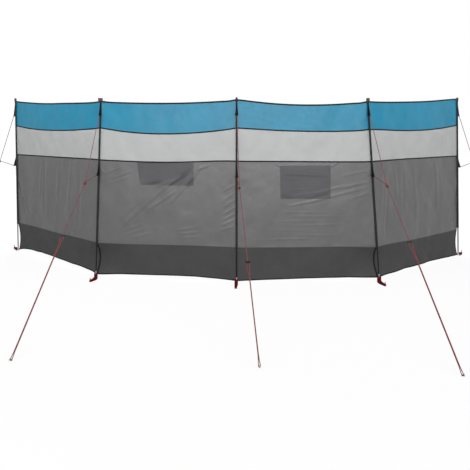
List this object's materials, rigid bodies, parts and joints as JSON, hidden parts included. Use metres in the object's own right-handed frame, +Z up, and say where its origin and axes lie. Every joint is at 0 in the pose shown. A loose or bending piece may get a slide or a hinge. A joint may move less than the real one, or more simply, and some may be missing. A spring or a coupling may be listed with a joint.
{
  "type": "beach windbreak",
  "caption": "Folding cloth windbreak set up on poles in a shallow arc, with sewn colour bands, closed windows, a ground skirt, and red guy ropes with runners and pegs",
  "frame": {"origin": "the foot of the centre pole, on the ground", "axes": "+Z up, +X to the right along the screen as seen from its outer face, -Y outwards towards the guy pegs"},
  "size_m": [6.6208, 2.8996, 1.5473],
  "materials": {
    "pole_black": "black glass-fibre tube, satin",
    "foot_steel": "bare pressed steel, satin",
    "cap_plastic": "matte black moulded plastic",
    "sleeve_cloth": "dark grey coated polyester webbing cloth",
    "hem_tape": "dark grey woven binding tape",
    "blue_cloth": "blue coated polyester, plain weave, slight sheen",
    "pale_cloth": "light grey coated polyester, plain weave",
    "grey_cloth": "mid grey coated polyester, plain weave",
    "skirt_cloth": "dark grey coated polyester, plain weave",
    "window_film": "smoked clear film, glossy",
    "curtain_cloth": "dark grey coated polyester",
    "guy_rope": "braided red polyester cord with pale flecks",
    "runner_plastic": "dark red moulded plastic",
    "strap_webbing": "dark red woven webbing",
    "loop_webbing": "dark grey-brown woven webbing",
    "peg_steel": "dark steel wire, satin"
  },
  "bodies": {
    "root": {"pole_1": "pole_black", "sleeve_1": "sleeve_cloth", "guy_rope_1": "guy_rope", "pole_2": "pole_black", "sleeve_2": "sleeve_cloth", "guy_rope_2": "guy_rope", "pole_3": "pole_black", "sleeve_3": "sleeve_cloth", "guy_rope_3": "guy_rope", "pole_4": "pole_black", "sleeve_4": "sleeve_cloth", "guy_rope_4": "guy_rope", "pole_5": "pole_black", "sleeve_5": "sleeve_cloth", "guy_rope_5": "guy_rope", "top_band_1": "blue_cloth", "pale_band_1": "pale_cloth", "wall_1": "grey_cloth", "skirt_1": "skirt_cloth", "top_band_2": "blue_cloth", "pale_band_2": "pale_cloth", "wall_2": "grey_cloth", "skirt_2": "skirt_cloth", "top_band_3": "blue_cloth", "pale_band_3": "pale_cloth", "wall_3": "grey_cloth", "skirt_3": "skirt_cloth", "top_band_4": "blue_cloth", "pale_band_4": "pale_cloth", "wall_4": "grey_cloth", "skirt_4": "skirt_cloth", "top_hems": "hem_tape", "window_films": "window_film", "window_curtains": "curtain_cloth", "pole_feet": "foot_steel", "pole_caps": "cap_plastic", "pole_loops": "loop_webbing", "upper_guy_tabs": "sleeve_cloth", "lower_guy_tabs": "sleeve_cloth", "bridle_runners": "runner_plastic", "tension_runners": "runner_plastic", "guy_pegs": "peg_steel", "foot_pegs": "peg_steel", "foot_straps": "strap_webbing"}
  },
  "joints": []
}
